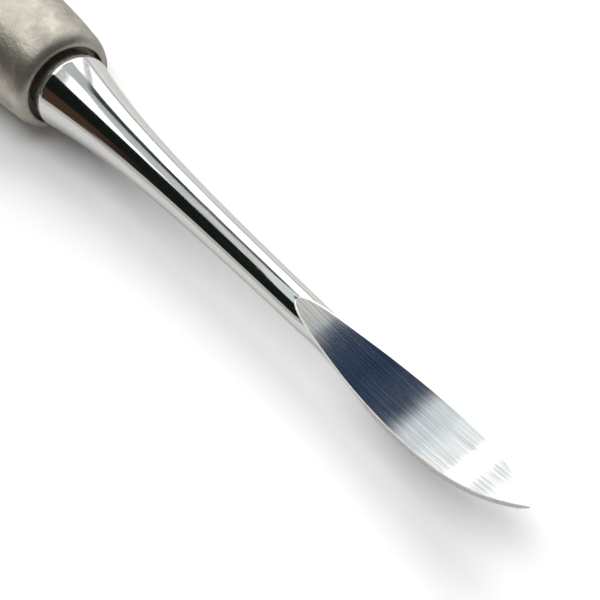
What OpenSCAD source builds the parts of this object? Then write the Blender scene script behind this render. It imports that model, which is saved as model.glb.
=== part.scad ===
// Periosteal elevator: a double-ended dental hand instrument.
// A round blasted handle carries a polished round shank at each end. One shank ends in a pointed,
// leaf-shaped blade and the other in a broader blade with a round end. Both blades are hollow-ground
// on their upper side, so that they curve upwards towards their ends.
// The X axis is the handle's axis and points at the pointed blade. Z is up, on the blades' ground side.
// The origin is the middle of the handle. All sizes are in millimetres.

/* [Handle] */
// Diameter of the handle's plain grip
handle_d = 9; // [8:0.1:11]
// Length of the handle from lip to lip
handle_len = 67.4; // [62:0.2:110]
// Wall thickness of the handle tube
handle_wall = 0.7; // [0.5:0.1:1.2]
// Length of the tapering nose at each end of the handle
nose_len = 11.7; // [11:0.1:20]
// Diameter of the nose at its lip
lip_d = 8.3; // [7.6:0.1:8.6]
// Length over which the nose rounds off into its lip
lip_round_len = 1.8; // [1:0.1:2.2]
// Number of ring grooves cut near each end of the handle tube
groove_count = 4; // [1:1:5]

/* [Shanks] */
// Diameter of the shank where it leaves the handle
shank_base_d = 6; // [5.4:0.1:6.2]
// Diameter of the slender neck behind the blade
neck_d = 2.55; // [2.3:0.05:3]
// Length of the shank from the handle's lip to where the ground face starts
shank_len = 30.5; // [26:0.1:38]
// Radial width of the crevice between the shank's base and the lip
crevice_w = 0.2; // [0.15:0.05:0.4]
// Depth of the crevice
crevice_depth = 1.3; // [0.8:0.1:1.6]

/* [Blades] */
// Radius of the grinding wheel that hollows a blade's upper face along its length
grind_r = 47; // [40:1:70]
// Thickness of the blade's rim at the lowest place of the ground face
rim_t = 1.4; // [1:0.05:1.6]
// Length of the pointed blade's ground face
pointed_len = 27; // [24:0.2:29]
// Greatest width of the pointed blade
pointed_w = 4.05; // [3.5:0.05:4.8]
// Length of the rounded blade's ground face
rounded_len = 24.6; // [22:0.2:27]
// Greatest width of the rounded blade
rounded_w = 5.4; // [4.6:0.1:5.8]

/* [Hidden] */
$fn = 96;

// Handle
handle_r = handle_d / 2;
bore_r = handle_r - handle_wall;
tube_len = handle_len - 2 * nose_len;
lip_r = lip_d / 2;
nose_steps = 10;
nose_power = 3.4;           // how late along the nose its taper sets in
lip_steps = 6;
spigot_len = 7;             // the cone's spigot, pressed into the tube
groove_w = 1.2;
groove_depth = 0.25;
groove_pitch = 2.2;
groove_margin = 2;          // from the tube's end to the first groove's middle

// Shank
base_r = shank_base_d / 2;
neck_r = neck_d / 2;
taper_len = 8.6;            // over this length the shank loses most of its extra thickness
shank_steps = 18;
base_back = 1.1;            // the shank's widest ring stands this far in front of the lip
base_round_r = 0.4;         // how much the shank narrows from there down into the crevice
tang_r = 1.6;
tang_len = 11;
ring_t = 0.4;               // thickness of the braze ring at the bottom of the crevice

// Blade
deep_z = 0.38;              // lowest height of the ground face above the axis
deep_at = sqrt(2 * grind_r * (neck_r - deep_z));    // how far along the ground face that is
back_shift = 2.5;           // how far the underside's arc is set back, so that the rim thins to the tip
widest_at = 14.9;           // the blades are widest this far along the ground face
start_half_w = 0.4;         // half the ground face's width where it starts on the neck
outline_steps = 14;
keel_len = 12.5;            // the round neck fades out under the blade over this length
keel_steps = 8;

// Places along X, on the +X side
lip_x = handle_len / 2;
seat_x = lip_x - crevice_depth;         // bottom of the crevice
widest_x = lip_x + base_back;           // the shank's widest ring
face_x = lip_x + shank_len;             // where the ground face starts

// The nose's radius at t, which runs from 0 at the tube to 1 at the lip.
function nose_r(t) = handle_r - (handle_r - lip_r) * pow(t, nose_power);

// The shank's radius at a distance x in front of its widest ring.
function shank_r(x) = neck_r + (base_r - neck_r) * exp(-x / taper_len);

// Half the blade's width at t, from 0 at the neck to 1 at the widest place.
function neck_side(t, half_w) = half_w - (half_w - start_half_w) * pow(1 - t, 2.2);

// Half the blade's width at t, from 0 at the widest place to 1 at the end.
function pointed_side(t, half_w) = half_w * (1 - pow(t, 2.4));
function rounded_side(t, half_w) = half_w * sqrt(1 - pow(t, 2.6));

// The first stretch of one side of an outline, from the neck to the widest place.
function neck_outline(half_w) = [for (i = [0 : outline_steps]) let (t = i / outline_steps)
    [t * widest_at, neck_side(t, half_w)]];

// Turns a profile of [radius, distance along X] points about the X axis.
module turned(profile) {
    rotate([0, 90, 0])
        rotate_extrude()
            polygon(profile);
}

// A ring groove's cutter, centred on x.
module groove_cutter(x) {
    turned([
        [handle_r - groove_depth, x - groove_w / 4],
        [handle_r + 1, x - groove_w / 2 - 1],
        [handle_r + 1, x + groove_w / 2 + 1],
        [handle_r - groove_depth, x + groove_w / 4]
    ]);
}

module handle_tube() {
    color("#b7b1a5")
        difference() {
            turned([
                [bore_r, -tube_len / 2],
                [handle_r, -tube_len / 2],
                [handle_r, tube_len / 2],
                [bore_r, tube_len / 2]
            ]);
            for (side = [-1, 1], i = [0 : groove_count - 1])
                groove_cutter(side * (tube_len / 2 - groove_margin - i * groove_pitch));
        }
}

// One end cone, on the +X side.
module end_cone() {
    tube_end = tube_len / 2;
    nose = [for (i = [0 : nose_steps]) let (t = i / nose_steps)
        [nose_r(t), tube_end + t * (nose_len - lip_round_len)]];
    rounding = [for (i = [1 : lip_steps]) let (a = 90 * i / lip_steps)
        [lip_r - (lip_r - base_r - crevice_w) * (1 - cos(a)), lip_x - lip_round_len * (1 - sin(a))]];
    color("#aaa498")
        turned(concat(
            [
                [tang_r, tube_end - spigot_len],
                [bore_r, tube_end - spigot_len],
                [bore_r, tube_end]
            ],
            nose,
            rounding,
            [
                [base_r + crevice_w, seat_x],
                [tang_r, seat_x]
            ]
        ));
}

// The ring of braze at the bottom of the crevice, on the +X side.
module braze_ring() {
    color("#3c3833")
        turned([
            [base_r - base_round_r, seat_x],
            [base_r + crevice_w, seat_x],
            [base_r + crevice_w, seat_x + ring_t],
            [base_r - base_round_r, seat_x + ring_t]
        ]);
}

// The round tang and shank, and the neck that fades out under the blade.
module shank_and_tang() {
    ring_x = seat_x + ring_t;
    back = [for (i = [0 : lip_steps]) let (a = 90 * i / lip_steps)
        [base_r - base_round_r * (1 - sin(a)), ring_x + (widest_x - ring_x) * (1 - cos(a))]];
    taper = [for (i = [1 : shank_steps]) let (x = i * (face_x - widest_x) / shank_steps)
        [shank_r(x), widest_x + x]];
    keel = [for (i = [1 : keel_steps]) let (t = i / keel_steps)
        [shank_r(face_x - widest_x) * (1 - t * t), face_x + t * keel_len]];
    turned(concat(
        [
            [0, seat_x - tang_len],
            [tang_r, seat_x - tang_len],
            [tang_r, seat_x],
            [base_r - base_round_r, seat_x]
        ],
        back,
        taper,
        keel
    ));
}

// A cylinder across the blade, about the grinding wheel's centre or set back from it.
module wheel(r, back = 0) {
    translate([face_x + deep_at - back, 0, deep_z + grind_r])
        rotate([90, 0, 0])
            cylinder(r = r, h = handle_d, center = true, $fn = 240);
}

// A working end on the +X side. Its side lists one side of the blade's outline, as points of
// [distance from the start of the ground face, half width] that end on the middle line.
module working_end(side) {
    other_side = [for (i = [len(side) - 2 : -1 : 0]) [side[i][0], -side[i][1]]];
    difference() {
        union() {
            shank_and_tang();
            intersection() {
                translate([face_x, 0, -handle_r])
                    linear_extrude(handle_d)
                        polygon(concat(side, other_side));
                wheel(grind_r + rim_t, back_shift);
            }
        }
        wheel(grind_r);
    }
}

module pointed_blade() {
    end_len = pointed_len - widest_at;
    tip = [for (i = [1 : outline_steps]) let (t = i / outline_steps)
        [widest_at + t * end_len, pointed_side(t, pointed_w / 2)]];
    color("#c9ccd0")
        working_end(concat(neck_outline(pointed_w / 2), tip));
}

module rounded_blade() {
    end_len = rounded_len - widest_at;
    tip = [for (i = [1 : outline_steps]) let (t = sin(90 * i / outline_steps))
        [widest_at + t * end_len, rounded_side(t, rounded_w / 2)]];
    color("#c3c7cc")
        mirror([1, 0, 0])
            working_end(concat(neck_outline(rounded_w / 2), tip));
}

module front_end_cone() {
    end_cone();
}

module rear_end_cone() {
    mirror([1, 0, 0])
        end_cone();
}

module front_braze_ring() {
    braze_ring();
}

module rear_braze_ring() {
    mirror([1, 0, 0])
        braze_ring();
}

handle_tube();
front_end_cone();
rear_end_cone();
pointed_blade();
rounded_blade();
front_braze_ring();
rear_braze_ring();
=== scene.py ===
"""Periosteal elevator on a pale floor: the looks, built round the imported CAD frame.

Everything is in metres, in the row frame: +X along the handle towards the pointed blade, +Z up on the
blades' ground side, origin in the middle of the handle.
"""
import math

import bpy
from mathutils import Matrix, Vector, noise


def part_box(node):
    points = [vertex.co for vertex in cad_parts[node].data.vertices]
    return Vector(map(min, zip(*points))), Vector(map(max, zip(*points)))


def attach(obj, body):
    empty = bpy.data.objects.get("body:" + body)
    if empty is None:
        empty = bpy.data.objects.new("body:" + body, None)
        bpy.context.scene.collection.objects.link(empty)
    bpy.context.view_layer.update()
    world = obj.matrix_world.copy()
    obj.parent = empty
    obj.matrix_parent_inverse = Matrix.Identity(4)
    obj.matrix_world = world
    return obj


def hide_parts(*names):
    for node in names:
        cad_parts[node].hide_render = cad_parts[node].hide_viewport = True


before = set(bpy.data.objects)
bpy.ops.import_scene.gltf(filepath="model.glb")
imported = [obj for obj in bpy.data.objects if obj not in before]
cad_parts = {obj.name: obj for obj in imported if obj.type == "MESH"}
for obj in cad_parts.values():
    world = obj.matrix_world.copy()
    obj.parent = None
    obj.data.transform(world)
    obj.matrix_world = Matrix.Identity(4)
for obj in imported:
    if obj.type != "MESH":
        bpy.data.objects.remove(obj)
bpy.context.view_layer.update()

MM = 0.001

# ---------------------------------------------------------------- sizes, from the frame and the design
TUBE_LOW, TUBE_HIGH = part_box("handle_tube")
CONE_LOW, CONE_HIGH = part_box("front_end_cone")
RING_LOW, RING_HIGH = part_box("front_braze_ring")
POINTED_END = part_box("pointed_blade")[1].x
ROUNDED_END = -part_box("rounded_blade")[0].x

HANDLE_R = TUBE_HIGH.z
TUBE_END = TUBE_HIGH.x              # the handle tube ends here and the cone's nose starts
SPIGOT_X = CONE_LOW.x
LIP_X = CONE_HIGH.x
HANDLE_WALL = 0.7 * MM
BORE_R = HANDLE_R - HANDLE_WALL
TUBE_CHAMFER = 0.12 * MM            # on the tube's ends and on the cones where they meet it
LIP_R = 4.15 * MM
LIP_ROUND = 1.8 * MM                # length over which the nose rounds off into its lip
LIP_EDGE_R = 0.08 * MM              # the crevice's rounded edge
NOSE_POWER = 3.4                    # how late along the nose its taper sets in
SEAT_X = RING_LOW.x                 # bottom of the crevice
RING_X = RING_HIGH.x                # top of the braze in it
GROOVE_COUNT = 4                    # ring grooves near each end of the tube
GROOVE_PITCH = 2.2 * MM
GROOVE_HALF_W = 0.6 * MM
GROOVE_DEPTH = 0.25 * MM

BASE_R = 3.0 * MM                   # the shank where it leaves the handle
CREVICE_W = 0.2 * MM
CREVICE_R = BASE_R + CREVICE_W
BASE_X = LIP_X + 1.1 * MM           # the shank's widest ring
BASE_ROUND = 0.4 * MM
SHOULDER = 0.9 * MM                 # length of the rounding behind it
NECK_R = 1.275 * MM
TAPER = 8.6 * MM
TANG_R = 1.6 * MM
TANG_LEN = 11 * MM
TANG_CHAMFER = 0.25 * MM
SHANK_LEN = 30.5 * MM
FACE_X = LIP_X + SHANK_LEN          # the ground face starts here

GRIND_R = 47 * MM                   # radius of the grinding along the blade
DEEP_Z = 0.38 * MM                  # its lowest height over the axis
DEEP_AT = math.sqrt(2 * GRIND_R * (NECK_R - DEEP_Z))
RIM_T = 1.4 * MM                    # thickness there
BACK_SHIFT = 2.5 * MM               # the underside's arc is set back, so that the rim thins to the tip
WIDEST_AT = 14.9 * MM
START_HALF_W = 0.4 * MM
POINTED_HALF_W = 2.025 * MM
ROUNDED_HALF_W = 2.7 * MM
FLOOR_Z = TUBE_LOW.z                # the handle lies on the floor


def smooth(a, b, x):
    """0 below a, 1 above b, and a smooth step between them."""
    t = min(1.0, max(0.0, (x - a) / (b - a)))
    return t * t * (3 - 2 * t)


# ---------------------------------------------------------------- mesh helpers
SHARP_ANGLE = 40        # turned edges over this many degrees are shaded sharp


def finish_mesh(name, verts, faces, slots, materials, sharp_angle=None, sharp=()):
    """A mesh object from points and faces, smooth shaded, with one material index per face."""
    mesh = bpy.data.meshes.new(name)
    mesh.from_pydata([tuple(v) for v in verts], [], faces)
    for material in materials:
        mesh.materials.append(material)
    mesh.polygons.foreach_set("material_index", slots)
    mesh.polygons.foreach_set("use_smooth", [True] * len(faces))
    mesh.update()
    grid = mesh.uv_layers.new(name="across_and_along")      # gives the grinding lines their direction
    for loop in mesh.loops:
        place = mesh.vertices[loop.vertex_index].co
        grid.data[loop.index].uv = (place.y * 100, place.x * 100)
    if sharp_angle is not None:
        mesh.set_sharp_from_angle(angle=math.radians(sharp_angle))
    if sharp:
        wanted = set(sharp)
        for edge in mesh.edges:
            if tuple(sorted(edge.vertices)) in wanted:
                edge.use_edge_sharp = True
    obj = bpy.data.objects.new(name, mesh)
    bpy.context.scene.collection.objects.link(obj)
    return obj


def lathe(name, profile, material, segments=192, roughen=None, mirror=False):
    """Turns a closed profile of (x, r) points about the X axis into a ring-shaped solid.

    roughen(point) gives a displaced point, for a surface that isn't perfectly turned.
    """
    verts = []
    for x, r in profile:
        for k in range(segments):
            a = 2 * math.pi * k / segments
            verts.append(Vector((x, r * math.sin(a), r * math.cos(a))))
    if roughen:
        verts = [roughen(v) for v in verts]
    if mirror:
        verts = [Vector((-v.x, v.y, v.z)) for v in verts]
    faces = []
    rows = len(profile)
    for i in range(rows):
        j = (i + 1) % rows
        for k in range(segments):
            m = (k + 1) % segments
            quad = (i * segments + k, i * segments + m, j * segments + m, j * segments + k)
            faces.append(quad[::-1] if mirror else quad)
    return finish_mesh(name, verts, faces, [0] * len(faces), [material], sharp_angle=SHARP_ANGLE)


def line(a, b, steps):
    """Points from a to b, b left out."""
    return [(a[0] + (b[0] - a[0]) * i / steps, a[1] + (b[1] - a[1]) * i / steps) for i in range(steps)]


# ---------------------------------------------------------------- node helpers
class Nodes:
    """A short way to write a node tree."""

    def __init__(self, tree):
        self.tree = tree
        tree.nodes.clear()

    def add(self, kind, inputs=None, **settings):
        node = self.tree.nodes.new(kind)
        for key, value in settings.items():
            setattr(node, key, value)
        for key, value in (inputs or {}).items():
            if isinstance(value, bpy.types.NodeSocket):
                self.tree.links.new(value, node.inputs[key])
            else:
                node.inputs[key].default_value = value
        return node

    def math(self, operation, a, b=0.0):
        return self.add("ShaderNodeMath", {0: a, 1: b}, operation=operation).outputs[0]

    def step(self, value, low, high):
        """A smooth step of value, from 0 at low to 1 at high."""
        node = self.add("ShaderNodeMapRange", {"Value": value, "From Min": low, "From Max": high},
                        interpolation_type="SMOOTHSTEP")
        return node.outputs["Result"]

    def inside(self, value, low, high, soft):
        """1 where value lies between low and high, with edges as soft as given."""
        above = self.step(self.math("SUBTRACT", value, low), -soft, soft)
        past = self.step(self.math("SUBTRACT", value, high), -soft, soft)
        return self.both(above, self.without(past))

    def both(self, a, b):
        return self.math("MULTIPLY", a, b)

    def without(self, a):
        return self.math("SUBTRACT", 1.0, a)

    def between(self, value, low, high, to_low, to_high):
        node = self.add("ShaderNodeMapRange", {"Value": value, "From Min": low, "From Max": high,
                                               "To Min": to_low, "To Max": to_high})
        return node.outputs["Result"]

    def noise(self, vector, scale, detail=3.0, roughness=0.5, distortion=0.0):
        node = self.add("ShaderNodeTexNoise", {"Vector": vector, "Scale": scale, "Detail": detail,
                                               "Roughness": roughness, "Distortion": distortion})
        return node.outputs["Fac"]

    def mix(self, factor, a, b):
        node = self.add("ShaderNodeMix", data_type="RGBA")
        for socket, value in ((node.inputs[0], factor), (node.inputs[6], a), (node.inputs[7], b)):
            if isinstance(value, bpy.types.NodeSocket):
                self.tree.links.new(value, socket)
            else:
                socket.default_value = value
        return node.outputs[2]

    def bump(self, strength, distance, height):
        node = self.add("ShaderNodeBump", {"Strength": strength, "Distance": distance, "Height": height})
        return node.outputs["Normal"]

    def stretched(self, x, y, z):
        """The object's own coordinates in millimetres, scaled along each axis."""
        place = self.add("ShaderNodeTexCoord").outputs["Object"]
        node = self.add("ShaderNodeMapping", {"Vector": place, "Scale": (x / MM, y / MM, z / MM)})
        return node.outputs["Vector"]


def colour(r, g, b):
    return (r, g, b, 1.0)


def new_material(name):
    material = bpy.data.materials.new(name)
    material.use_nodes = True
    return material, Nodes(material.node_tree)


def metal_output(nodes, base, roughness, normal, **more):
    """A metallic Principled shader with its output. More inputs are given by name, with _ for a space."""
    inputs = {"Base Color": base, "Roughness": roughness, "Normal": normal, "Metallic": 1.0}
    inputs.update({key.replace("_", " "): value for key, value in more.items()})
    shader = nodes.add("ShaderNodeBsdfPrincipled", inputs)
    nodes.add("ShaderNodeOutputMaterial", {"Surface": shader.outputs[0]})


# ---------------------------------------------------------------- materials
def blasted_steel():
    """Coarse bead-blasted stainless steel: warm grey, mottled, pitted, and darkened round the lip with
    painted shade.
    """
    material, n = new_material("blasted_steel")
    place = n.stretched(1, 1, 1)
    blotches = n.noise(place, 0.8, 4, 0.6, 0.4)
    stains = n.noise(place, 0.3, 2, 0.5, 0.8)
    grain = n.noise(place, 6.0, 3, 0.65)
    pits = n.add("ShaderNodeTexVoronoi", {"Vector": place, "Scale": 5.0}).outputs["Distance"]
    base = n.mix(n.between(blotches, 0.36, 0.66, 0, 1), colour(0.40, 0.372, 0.325), colour(0.57, 0.54, 0.48))
    base = n.mix(n.between(stains, 0.45, 0.7, 0, 0.4), base, colour(0.46, 0.415, 0.35))
    along = n.add("ShaderNodeSeparateXYZ", {"Vector": place}).outputs[0]
    lip_mm = LIP_X / MM
    # painted shade: the base colour darkens towards the lip and the crevice, where shade falls
    painted_lip_shade = n.step(n.math("ABSOLUTE", along), lip_mm - 1.0, lip_mm - 0.1)
    base = n.mix(n.math("MULTIPLY", painted_lip_shade, 0.45), base, colour(0.16, 0.15, 0.135))
    rough = n.between(grain, 0.3, 0.7, 0.36, 0.48)
    height = n.math("ADD", n.math("MULTIPLY", grain, 0.5), n.math("MULTIPLY", pits, 0.4))
    height = n.math("ADD", height, n.math("MULTIPLY", blotches, 1.6))
    metal_output(n, base, rough, n.bump(0.45, 0.05 * MM, height), Specular_Tint=colour(0.5, 0.5, 0.5))
    return material


def polished_steel():
    """Polished stainless steel with faint lengthwise polishing lines."""
    material, n = new_material("polished_steel")
    lines = n.noise(n.stretched(0.12, 9, 9), 1.0, 3, 0.6)
    waves = n.noise(n.stretched(0.25, 0.6, 0.6), 1.0, 2, 0.5)
    base = n.mix(n.between(lines, 0.35, 0.65, 0, 1), colour(0.57, 0.565, 0.55), colour(0.63, 0.625, 0.61))
    rough = n.between(lines, 0.3, 0.7, 0.05, 0.10)
    height = n.math("ADD", n.math("MULTIPLY", lines, 0.25), waves)
    metal_output(n, base, rough, n.bump(0.15, 0.02 * MM, height), Specular_Tint=colour(0.72, 0.71, 0.70))
    return material


def ground_steel():
    """The blade's ground face: lengthwise grinding lines, so that it mirrors sharply only lengthwise."""
    material, n = new_material("ground_steel")
    fine = n.noise(n.stretched(0.1, 8, 0.1), 1.0, 3, 0.7)
    broad = n.noise(n.stretched(0.04, 2, 0.04), 1.0, 2, 0.6)
    lines = n.noise(n.stretched(0.06, 5, 0.06), 1.0, 3, 0.7)
    smears = n.noise(n.stretched(0.3, 0.7, 0.7), 1.0, 3, 0.6, 0.5)
    base = n.mix(n.between(fine, 0.3, 0.7, 0, 1), colour(0.42, 0.43, 0.44), colour(0.78, 0.78, 0.775))
    rough = n.math("ADD", n.between(smears, 0.3, 0.7, 0.08, 0.12), n.between(lines, 0.4, 0.75, 0, 0.05))
    across = n.add("ShaderNodeTangent", direction_type="UV_MAP", uv_map="across_and_along")
    metal_output(n, base, rough, n.bump(0.4, 0.02 * MM, broad), Anisotropic=1.0, Tangent=across.outputs[0])
    return material


def rim_steel():
    """The blade's rim, ground across with a matte finish."""
    material, n = new_material("rim_steel")
    marks = n.noise(n.stretched(6, 6, 1), 1.0, 3, 0.6)
    base = n.mix(n.between(marks, 0.35, 0.65, 0, 1), colour(0.36, 0.35, 0.33), colour(0.5, 0.49, 0.46))
    rough = n.between(marks, 0.3, 0.7, 0.32, 0.5)
    metal_output(n, base, rough, n.bump(0.3, 0.02 * MM, marks))
    return material


def edge_steel():
    """The thin buffed bevel round the ground face, rough enough to scatter its light, coloured near white
    with little metal so that it shows as a painted highlight.
    """
    material, n = new_material("edge_steel")
    wear_and_glint = n.noise(n.stretched(1.5, 1.5, 1.5), 1.0, 3, 0.6)
    # painted highlight: the near-white base, only 0.3 metallic, makes the bevel a bright line
    base = n.mix(n.between(wear_and_glint, 0.35, 0.65, 0, 1), colour(0.78, 0.78, 0.76), colour(0.92, 0.92, 0.9))
    rough = n.between(wear_and_glint, 0.3, 0.7, 0.35, 0.5)
    metal_output(n, base, rough, n.bump(0.2, 0.01 * MM, wear_and_glint), Metallic=0.3)
    return material


def braze():
    """Braze in the crevice, coloured darker than the steel as painted shade for the crevice and the shank's
    shoulder beside it.
    """
    material, n = new_material("braze")
    place = n.stretched(1, 1, 1)
    lumps = n.noise(place, 3.0, 3, 0.6)
    # painted shade: these tones, darker than the steel, stand in for the crevice's shade
    base = n.mix(n.between(lumps, 0.35, 0.65, 0, 1), colour(0.26, 0.24, 0.205), colour(0.42, 0.39, 0.34))
    rough = n.between(lumps, 0.3, 0.7, 0.45, 0.7)
    metal_output(n, base, rough, n.bump(0.5, 0.05 * MM, lumps))
    return material


def pale_floor():
    """White card with a hint of unevenness."""
    material, n = new_material("pale_floor")
    mottle = n.noise(n.stretched(0.02, 0.02, 0.02), 1.0, 3, 0.5)
    base = n.mix(n.between(mottle, 0.35, 0.65, 0, 1), colour(0.86, 0.868, 0.89), colour(0.88, 0.888, 0.905))
    shader = n.add("ShaderNodeBsdfPrincipled", {"Base Color": base, "Roughness": 0.6,
                                                "Specular IOR Level": 0.2})
    n.add("ShaderNodeOutputMaterial", {"Surface": shader.outputs[0]})
    return material


BLASTED = blasted_steel()
POLISHED = polished_steel()
GROUND = ground_steel()
RIM = rim_steel()
EDGE = edge_steel()
BRAZE_AND_SHADE = braze()


# ---------------------------------------------------------------- handle
def blasted_surface(v):
    """Moves a point of the handle in or out a few microns, as blasting leaves it."""
    p = v * 1000
    rise = noise.noise(p * 1.3) * 0.012 + noise.noise(p * 3.1) * 0.006
    r = math.hypot(v.y, v.z)
    k = (r + rise * MM) / r
    return Vector((v.x, v.y * k, v.z * k))


def nose_profile():
    """The end cone, on the +X side, from its spigot round the outside and back through its bore."""
    nose_len = LIP_X - LIP_ROUND - TUBE_END
    out = line((SPIGOT_X, TANG_R), (SPIGOT_X, BORE_R), 4)
    out += line((SPIGOT_X, BORE_R), (TUBE_END, BORE_R), 6)
    out += line((TUBE_END, BORE_R), (TUBE_END, HANDLE_R - TUBE_CHAMFER), 2)
    out += [(TUBE_END + TUBE_CHAMFER * 0.3, HANDLE_R - TUBE_CHAMFER * 0.3)]
    for i in range(1, 61):
        t = i / 60
        out.append((TUBE_END + t * nose_len, HANDLE_R - (HANDLE_R - LIP_R) * t ** NOSE_POWER))
    for i in range(1, 17):
        a = math.radians(90 * i / 16)
        out.append((LIP_X - LIP_ROUND * (1 - math.sin(a)),
                    LIP_R - (LIP_R - CREVICE_R - LIP_EDGE_R) * (1 - math.cos(a))))
    for i in range(1, 5):
        a = math.radians(90 * i / 4)
        out.append((LIP_X - LIP_EDGE_R * (1 - math.cos(a)), CREVICE_R + LIP_EDGE_R * (1 - math.sin(a))))
    out += line((LIP_X - 0.2 * MM, CREVICE_R), (SEAT_X, CREVICE_R), 5)
    out += line((SEAT_X, CREVICE_R), (SEAT_X, TANG_R), 6)
    out += line((SEAT_X, TANG_R), (SPIGOT_X, TANG_R), 10)
    return out


def tube_profile():
    """The handle tube with its ring grooves, from one end round the outside and back through its bore."""
    centres = [TUBE_END - 2 * MM - i * GROOVE_PITCH for i in range(GROOVE_COUNT)]
    centres = sorted([-c for c in centres] + centres)
    step = 0.25 * MM
    stops = [-TUBE_END + TUBE_CHAMFER]
    for c in centres:
        while stops[-1] + step < c - GROOVE_HALF_W:
            stops.append(stops[-1] + step)
        stops += [c - GROOVE_HALF_W + GROOVE_HALF_W * i / 6 for i in range(13)]
    while stops[-1] + step < TUBE_END - TUBE_CHAMFER:
        stops.append(stops[-1] + step)
    stops.append(TUBE_END - TUBE_CHAMFER)
    out = [(-TUBE_END, BORE_R), (-TUBE_END, HANDLE_R - TUBE_CHAMFER)]
    for x in stops:
        to_groove = min(1.0, min(abs(x - c) for c in centres) / GROOVE_HALF_W)
        dip = GROOVE_DEPTH * (0.5 + 0.5 * math.cos(math.pi * to_groove))
        out.append((x, HANDLE_R - dip))
    out += [(TUBE_END, HANDLE_R - TUBE_CHAMFER), (TUBE_END, BORE_R)]
    out += line((TUBE_END, BORE_R), (-TUBE_END, BORE_R), 20)[1:]
    return out


def ring_profile():
    """A lumpy fillet of braze at the bottom of the crevice."""
    inner, outer = BASE_R - BASE_ROUND, CREVICE_R
    out = [(SEAT_X, inner), (SEAT_X, outer)]
    for i in range(9):
        t = i / 8
        sag = 0.35 * math.sin(math.pi * t)
        out.append((SEAT_X + (RING_X - SEAT_X) * (1 - sag), outer + (inner - outer) * t))
    return out


handle_tube = lathe("blasted_handle_tube", tube_profile(), BLASTED, roughen=blasted_surface)
front_cone = lathe("blasted_front_cone", nose_profile(), BLASTED, roughen=blasted_surface)
rear_cone = lathe("blasted_rear_cone", nose_profile(), BLASTED, roughen=blasted_surface, mirror=True)
front_ring = lathe("front_braze", ring_profile(), BRAZE_AND_SHADE, segments=128)
rear_ring = lathe("rear_braze", ring_profile(), BRAZE_AND_SHADE, segments=128, mirror=True)

# ---------------------------------------------------------------- working ends
HALF_STEPS = 52         # points down one side of a section, from the ground face's edge to the bottom
FACE_STEPS = 14         # columns across the ground face
BEVEL_STEPS = 3
BEVEL = 0.075 * MM
RIM_SHARE = 0.3         # share of a side's points that lie on the rim
RIM_FROM = 9.5 * MM     # distance from FACE_X at which the rim's own finish starts
RIM_PART = 0.92         # share of the rim's thickness that its upright side takes
KEEL = 0.4 * MM         # how much lower the middle of the underside is than the rim
BLEND_LEN = 10.5 * MM   # length over which the round shank turns into the flat blade
POLISHED_SLOT, GROUND_SLOT, RIM_SLOT, EDGE_SLOT, BRAZE_AND_SHADE_SLOT = range(5)


def shank_radius(x):
    return NECK_R + (BASE_R - NECK_R) * math.exp(-(x - BASE_X) / TAPER)


def face_height(s):
    """Height of the ground face at a distance s from its start."""
    return DEEP_Z + GRIND_R - math.sqrt(GRIND_R ** 2 - (s - DEEP_AT) ** 2)


def face_start():
    """Where the ground face comes out of the shank, as a distance from FACE_X."""
    low, high = -2 * MM, 1 * MM
    for _ in range(40):
        middle = (low + high) / 2
        if face_height(middle) > shank_radius(FACE_X + middle):
            low = middle
        else:
            high = middle
    return low


FACE_START = face_start()


def opening_half_width(s, widest):
    """Half the ground face's width from its start to its widest place, the same curve on both blades."""
    return widest - (widest - START_HALF_W) * min(1.0, 1 - s / WIDEST_AT) ** 2.2


def pointed_half_width(s, length):
    if s < WIDEST_AT:
        return opening_half_width(s, POINTED_HALF_W)
    return POINTED_HALF_W * (1 - ((s - WIDEST_AT) / (length - WIDEST_AT)) ** 2.4)


def rounded_half_width(s, length):
    if s < WIDEST_AT:
        return opening_half_width(s, ROUNDED_HALF_W)
    return ROUNDED_HALF_W * math.sqrt(max(0.0, 1 - ((s - WIDEST_AT) / (length - WIDEST_AT)) ** 2.6))


def rim_thickness(s, length):
    """Thickness of the blade's rim, which thins towards the tip and is rounded off at the very end."""
    thick = RIM_T - BACK_SHIFT * (s - DEEP_AT) / GRIND_R
    to_end = max(0.0, (length - s) / (1.1 * MM))
    return thick * (0.12 + 0.88 * math.sqrt(min(1.0, to_end)))


def side_of_section(s, plate_w, widest, length):
    """One side of the blade's section at s, as (y, z) points from the ground face's edge to the bottom."""
    z_face = face_height(s)
    r = shank_radius(FACE_X + s)
    start = math.acos(max(-1.0, min(1.0, z_face / r)))
    chord = r * math.sin(start) * (1 - smooth(8 * MM, 14 * MM, s))      # width the wheel cuts in the shank
    plate_w *= smooth(-0.2 * MM, 1.6 * MM, s)
    edge_w = (chord ** 8 + plate_w ** 8) ** 0.125
    rim_t = rim_thickness(s, length)
    rim_z = z_face - RIM_PART * rim_t
    keel = KEEL * min(1.0, plate_w / widest) * (1 - smooth(18 * MM, length, s))
    bulge = (1 - RIM_PART) * rim_t + keel
    blend = smooth(0, BLEND_LEN, s)
    points = []
    for i in range(HALF_STEPS + 1):
        f = i / HALF_STEPS
        a = start + (math.pi - start) * f
        round_y = r * math.sin(a) + (edge_w - r * math.sin(start)) * (1 - f) ** 3
        round_z = r * math.cos(a)
        if f < RIM_SHARE:
            t = f / RIM_SHARE
            plate_y = edge_w
            plate_z = z_face + (rim_z - z_face) * t
        else:
            a = 0.5 * math.pi * (f - RIM_SHARE) / (1 - RIM_SHARE)
            plate_y = edge_w * math.cos(a) ** 0.8
            plate_z = rim_z - bulge * math.sin(a) ** 0.7
        points.append((round_y + (plate_y - round_y) * blend, round_z + (plate_z - round_z) * blend))
    return points


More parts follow.
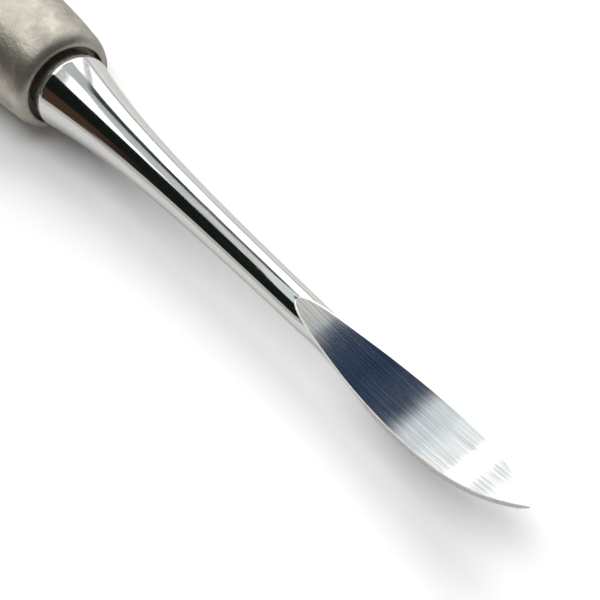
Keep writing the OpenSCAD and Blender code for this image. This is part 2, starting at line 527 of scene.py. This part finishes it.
def bevelled(points):
    """Splits a side's first corner into a small bevel: (bevel points, the side's points after it)."""
    (y0, z0), (y1, z1) = points[0], points[1]
    size = min(BEVEL, 0.3 * y0)
    reach = math.hypot(y1 - y0, z1 - z0)
    down = ((y1 - y0) / reach, (z1 - z0) / reach)
    inner = (y0 - size, z0)
    outer = (y0 + down[0] * size, z0 + down[1] * size)
    curve = []
    for i in range(BEVEL_STEPS + 1):
        t = i / BEVEL_STEPS
        a, b, c = (1 - t) ** 2, 2 * t * (1 - t), t * t
        curve.append((a * inner[0] + b * y0 + c * outer[0], a * inner[1] + b * z0 + c * outer[1]))
    rest = points[1:]
    if reach < size * 1.2:
        rest[0] = ((outer[0] + rest[1][0]) / 2, (outer[1] + rest[1][1]) / 2)
    return curve, rest


def section(s, half_width, widest, length):
    """The whole section at s as (y, z) points: across the ground face, down one side and up the other."""
    plate_w = max(half_width(s, length), 0.03 * MM)
    side = side_of_section(s, plate_w, widest, length)
    bevel, rest = bevelled(side)
    z_face = side[0][1]
    inner = bevel[0][0]
    across = [(-inner + 2 * inner * k / FACE_STEPS, z_face) for k in range(FACE_STEPS + 1)]
    down = bevel[1:] + rest
    return across + down + [(-y, z) for y, z in reversed(down[:-1])]


def section_slot(k, count, s):
    """Material slot of the blade's face that starts at point k of the count points of the section at s."""
    rim_points = int(HALF_STEPS * RIM_SHARE)
    body_first = FACE_STEPS + BEVEL_STEPS
    body_last = count - BEVEL_STEPS
    if k < FACE_STEPS:
        return GROUND_SLOT
    if k < body_first or k >= body_last:
        return EDGE_SLOT
    on_rim = k < body_first + rim_points or k >= body_last - rim_points
    return RIM_SLOT if on_rim and s > RIM_FROM else POLISHED_SLOT


def blade_stations(length):
    """Where the blade's sections lie, closer together at its start and towards its tip."""
    near_start = [FACE_START + 2 * MM * (k / 24) ** 2 for k in range(1, 25)]
    middle_end = length - 4 * MM
    middle = [near_start[-1] + (middle_end - near_start[-1]) * k / 70 for k in range(1, 71)]
    last = [middle_end + (length - middle_end) * math.sin(math.radians(88.5 * k / 34)) for k in range(1, 35)]
    return near_start + middle + last


def base_profile():
    """The tang and the shank's base as (x, r) points, up to the base's widest ring."""
    tang_end = SEAT_X - TANG_LEN
    inner_r = BASE_R - BASE_ROUND
    out = [(tang_end, TANG_R - TANG_CHAMFER), (tang_end + TANG_CHAMFER, TANG_R)]
    out += line((tang_end + 0.6 * MM, TANG_R), (SEAT_X, TANG_R), 6) + [(SEAT_X, TANG_R), (SEAT_X, inner_r)]
    out += line((RING_X, inner_r), (BASE_X - SHOULDER, inner_r), 6)
    for i in range(13):
        a = math.radians(90 * i / 12)
        out.append((BASE_X - SHOULDER * math.cos(a), BASE_R - BASE_ROUND * (1 - math.sin(a))))
    return out


def shank_profile():
    """The tapering shank as (x, r) points, from after its widest ring to where the ground face starts."""
    out = []
    for i in range(1, 91):
        x = BASE_X + (FACE_X + FACE_START - BASE_X) * (i / 90) ** 1.25
        out.append((x, shank_radius(x)))
    return out


def working_end(name, end_x, half_width, widest, mirror=False):
    """Tang, shank and blade as one forging. Its length comes from the CAD part's end."""
    length = end_x - FACE_X
    around = 2 * HALF_STEPS
    verts, faces, slots, sharp = [], [], [], []

    def place(points):
        """Adds points and returns their numbers."""
        first = len(verts)
        verts.extend(Vector(p) for p in points)
        return list(range(first, len(verts)))

    def face(corners, slot):
        faces.append(tuple(corners))
        slots.append(slot)

    # round stretch, with braze to just short of the base's widest ring; the braze colour is painted shade on
    # the crevice and on the shoulder just outside it
    base = base_profile()
    braze_and_shade_rings = len(base) - 3
    turns = [2 * math.pi * k / around for k in range(around)]
    rings = [place((x, r * math.sin(a), r * math.cos(a)) for a in turns) for x, r in base + shank_profile()]
    face(rings[0], POLISHED_SLOT)
    for i, (a, b) in enumerate(zip(rings, rings[1:])):
        for k in range(around):
            m = (k + 1) % around
            face((a[k], b[k], b[m], a[m]), BRAZE_AND_SHADE_SLOT if i < braze_and_shade_rings else POLISHED_SLOT)

    # first section: the ground face opens at the crest of the last ring
    stations = blade_stations(length)
    sections = []
    for s in stations:
        sections.append(place((FACE_X + s, y, z) for y, z in section(s, half_width, widest, length)))
    count = len(sections[0])
    first, last_ring = sections[0], rings[-1]
    body_first, body_last = FACE_STEPS + BEVEL_STEPS, count - BEVEL_STEPS
    fan = [first[k % count] for k in range(body_last, count + body_first + 1)]
    on_face = first[:FACE_STEPS + 1]
    for a, b in zip(fan, fan[1:]):
        face((last_ring[0], a, b), GROUND_SLOT if a in on_face and b in on_face else EDGE_SLOT)
    for k in range(around):
        m = (k + 1) % around
        face((last_ring[k], first[body_first + k], first[body_first + k + 1], last_ring[m]), POLISHED_SLOT)

    # the other sections
    for s, a, b in zip(stations[1:], sections, sections[1:]):
        for k in range(count):
            m = (k + 1) % count
            face((a[k], b[k], b[m], a[m]), section_slot(k, count, s))
        sharp.append((a[0], b[0]))
        sharp.append((a[FACE_STEPS], b[FACE_STEPS]))
    face(reversed(sections[-1]), RIM_SLOT)
    if mirror:
        verts = [Vector((-v.x, v.y, v.z)) for v in verts]
        faces = [tuple(reversed(f)) for f in faces]
    return finish_mesh(name, verts, faces, slots, [POLISHED, GROUND, RIM, EDGE, BRAZE_AND_SHADE], sharp=sharp)


pointed = working_end("pointed_working_end", POINTED_END, pointed_half_width, POINTED_HALF_W)
rounded = working_end("rounded_working_end", ROUNDED_END, rounded_half_width, ROUNDED_HALF_W, mirror=True)

for piece, node, slot_name in (
    (handle_tube, "handle_tube", "blasted_steel"),
    (front_cone, "front_end_cone", "blasted_steel"),
    (rear_cone, "rear_end_cone", "blasted_steel"),
    (pointed, "pointed_blade", "polished_steel"),
    (rounded, "rounded_blade", "polished_steel"),
    (front_ring, "front_braze_ring", "braze"),
    (rear_ring, "rear_braze_ring", "braze"),
):
    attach(piece, "root")
    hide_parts(node)


# ---------------------------------------------------------------- floor, studio and camera
def card(name, corners, material):
    """A flat four-cornered sheet."""
    obj = finish_mesh(name, [Vector(c) for c in corners], [(0, 1, 2, 3)], [0], [material])
    return obj


def rectangle(low_x, high_x, low_y, high_y, z):
    return [(low_x, low_y, z), (high_x, low_y, z), (high_x, high_y, z), (low_x, high_y, z)]


HALF_FLOOR = 3.0
card("floor", rectangle(-HALF_FLOOR, HALF_FLOOR, -HALF_FLOOR, HALF_FLOOR, FLOOR_Z), pale_floor())


def navy_card():
    """A dark navy card over the pointed blade, which the middle of its ground face mirrors.

    It is a little lighter at the blade's end, where it stops sharply, and pale at the handle's end.
    """
    material, n = new_material("navy_card")
    place = n.stretched(1, 1, 1)
    along = n.add("ShaderNodeSeparateXYZ", {"Vector": place}).outputs[0]
    shade = n.noise(place, 0.25, 2, 0.5)
    tone = n.mix(n.between(shade, 0.35, 0.65, 0, 1), colour(0.015, 0.033, 0.08), colour(0.034, 0.066, 0.14))
    tone = n.mix(n.math("MULTIPLY", n.step(along, 46.5, 50.5), 0.6), tone, colour(0.085, 0.115, 0.16))
    tone = n.mix(n.step(along, 34.5, 38.5), colour(0.95, 1.02, 1.06), tone)
    glow = n.add("ShaderNodeEmission", {"Color": tone, "Strength": 1.0})
    clear = n.add("ShaderNodeBsdfTransparent", {"Color": colour(1, 1, 1)})
    cover = n.without(n.step(along, 50.45, 50.65))
    shader = n.add("ShaderNodeMixShader", {0: cover, 1: clear.outputs[0], 2: glow.outputs[0]})
    n.add("ShaderNodeOutputMaterial", {"Surface": shader.outputs[0]})
    obj = card("navy_card", rectangle(30 * MM, 52 * MM, -16 * MM, 36 * MM, 40 * MM), material)
    obj.visible_camera = False
    obj.visible_diffuse = False
    obj.visible_shadow = False


navy_card()


def shank_room(n, x, turn):
    """What the shank mirrors, from its neck, at x of -0.61, to its base, at -0.46 and over."""
    near_base = n.between(x, -0.61, -0.46, 0, 1)
    on_shank = n.inside(x, -0.65, -0.25, 0.02)
    pale = n.mix(n.step(x, -0.42, -0.30), colour(0.68, 0.74, 0.75), colour(0.84, 0.82, 0.79))
    high = n.mix(near_base, colour(0.72, 0.715, 0.70), colour(0.88, 0.88, 0.88))
    high = n.mix(on_shank, colour(0.38, 0.375, 0.36), high)
    low = n.mix(on_shank, colour(0.08, 0.077, 0.07), colour(0.72, 0.70, 0.67))
    tone = n.mix(n.step(turn, 76, 84), pale, high)
    tone = n.mix(n.step(n.math("MULTIPLY", turn, -1.0), 70, 80), tone, low)

    streak_high = n.between(x, -0.575, -0.45, -8, 15)
    streak = n.both(n.inside(turn, -16, streak_high, 2.5), n.inside(x, -0.585, -0.392, 0.008))
    tone = n.mix(streak, tone, colour(2.4, 2.4, 2.35))

    strip_low = n.between(near_base, 0, 1, 19, 27)
    strip_high = n.between(near_base, 0, 1, 35, 44)
    strip = n.both(n.inside(turn, strip_low, strip_high, 3.5), n.without(n.step(x, -0.465, -0.445)))
    tone = n.mix(strip, tone, colour(0.04, 0.055, 0.055))

    gap = n.inside(x, -0.472, -0.437, 0.006)
    softbox = n.both(n.inside(turn, strip_high, 80, 2.0), n.without(gap))
    softbox = n.both(softbox, n.without(n.step(x, -0.40, -0.36)))
    tone = n.mix(softbox, tone, colour(2.6, 2.6, 2.55))

    dark = n.mix(on_shank, colour(0.2, 0.193, 0.18), colour(0.010, 0.014, 0.011))
    tone = n.mix(n.inside(turn, -74, -13, 1.5), tone, dark)
    brown = n.both(n.inside(turn, -82, -52, 2.5), n.step(x, -0.60, -0.50))
    return n.mix(brown, tone, colour(0.078, 0.046, 0.03))


def blade_room(n, x):
    """What the outer half of the pointed blade mirrors: a bright bar and a bright end in a pale wall."""
    tone = n.mix(n.step(x, -0.82, -0.74), colour(1.28, 1.33, 1.33), colour(0.95, 1.02, 1.06))
    tone = n.mix(n.inside(x, -0.892, -0.852, 0.006), tone, colour(2.4, 2.4, 2.35))
    return n.mix(n.without(n.step(x, -0.935, -0.915)), tone, colour(2.1, 2.06, 1.95))


def handle_lights(n, x, turn, tone):
    """Adds what only the blasted handle picks up: a lamp for its upper side and one for its lip."""
    lamp = n.both(n.inside(x, -0.72, -0.63, 0.01), n.inside(turn, -16, 40, 3.0))
    tone = n.mix(lamp, tone, colour(4.2, 4.1, 3.9))
    tone = n.mix(n.step(x, 0.0, 0.12), tone, colour(0.16, 0.158, 0.155))
    lip_lamp = n.both(n.inside(x, -0.21, 0.4, 0.05), n.inside(turn, -16, 48, 4.0))
    lip_tone = n.mix(n.step(x, 0.0, 0.2), colour(1.9, 1.85, 1.75), colour(0.9, 0.88, 0.84))
    return n.mix(lip_lamp, tone, lip_tone)


def studio():
    """The room that the steel mirrors, as a world: softboxes, dark and light stretches, a pale horizon.

    A direction is given by x, along the handle, and by turn, the angle about X from straight up,
    positive towards +Y.
    """
    world = bpy.data.worlds.new("studio")
    bpy.context.scene.world = world
    world.use_nodes = True
    n = Nodes(world.node_tree)
    direction = n.add("ShaderNodeTexCoord").outputs["Generated"]
    x, y, z = n.add("ShaderNodeSeparateXYZ", {"Vector": direction}).outputs
    turn = n.math("MULTIPLY", n.math("ARCTAN2", y, z), 180 / math.pi)
    by_blade = n.both(n.without(n.step(x, -0.72, -0.68)), n.step(turn, -8, 4))
    tone = n.mix(by_blade, shank_room(n, x, turn), blade_room(n, x))
    tone = handle_lights(n, x, turn, tone)
    lit = n.add("ShaderNodeBackground", {"Color": tone, "Strength": 1.0})
    plain = n.add("ShaderNodeBackground", {"Color": colour(0.95, 0.95, 0.96), "Strength": 1.0})
    camera_ray = n.add("ShaderNodeLightPath").outputs["Is Camera Ray"]
    shader = n.add("ShaderNodeMixShader", {0: camera_ray, 1: lit.outputs[0], 2: plain.outputs[0]})
    n.add("ShaderNodeOutputWorld", {"Surface": shader.outputs[0]})


studio()


def soft_lamp(name, direction, size, power):
    """A rectangular lamp over the shank, for the floor only: no metal mirrors it."""
    data = bpy.data.lights.new(name, "AREA")
    data.shape = "RECTANGLE"
    data.size, data.size_y = size
    data.energy = power
    lamp = bpy.data.objects.new(name, data)
    bpy.context.scene.collection.objects.link(lamp)
    back = Vector(direction).normalized()
    lamp.location = Vector((60, 0, 0)) * MM + back * 0.6
    lamp.rotation_mode = "QUATERNION"
    lamp.rotation_quaternion = back.to_track_quat("Z", "Y")
    lamp.visible_glossy = False


soft_lamp("main_light", (0.33, 0.02, 0.94), (0.28, 0.22), 1.3)
soft_lamp("side_light", (0.10, 0.60, 0.79), (0.26, 0.26), 1.15)


def match_camera():
    """The photograph's viewing angle: three angles about the handle's axis and a long lens."""
    angle_to_axis = math.radians(51.9)      # between the view and the handle's axis
    lean = math.radians(12.16)              # of the view about that axis, towards -Y
    slope = math.radians(43.38)             # of the axis in the picture, down to the right
    distance = 270 * MM
    focal_px = 3991.0                       # for a picture 600 pixels wide
    aim = Vector((70, 0, 0)) * MM
    offset_right, offset_up = 3.64 * MM, -3.90 * MM
    towards = Vector((math.cos(angle_to_axis), -math.sin(angle_to_axis) * math.sin(lean),
                      math.sin(angle_to_axis) * math.cos(lean)))
    along = Vector((1, 0, 0)) - towards * towards.x
    along.normalize()
    across = towards.cross(along)
    right = along * math.cos(slope) + across * math.sin(slope)
    up = -along * math.sin(slope) + across * math.cos(slope)
    data = bpy.data.cameras.new("camera")
    data.sensor_width = 36.0
    data.lens = focal_px * data.sensor_width / 600
    data.clip_start, data.clip_end = 0.01, 20.0
    camera = bpy.data.objects.new("camera", data)
    bpy.context.scene.collection.objects.link(camera)
    place = aim + towards * distance - right * offset_right - up * offset_up
    turn = Matrix((right, up, towards)).transposed().to_4x4()
    camera.matrix_world = Matrix.Translation(place) @ turn
    bpy.context.scene.camera = camera


match_camera()
bpy.context.scene.view_settings.view_transform = "Standard"
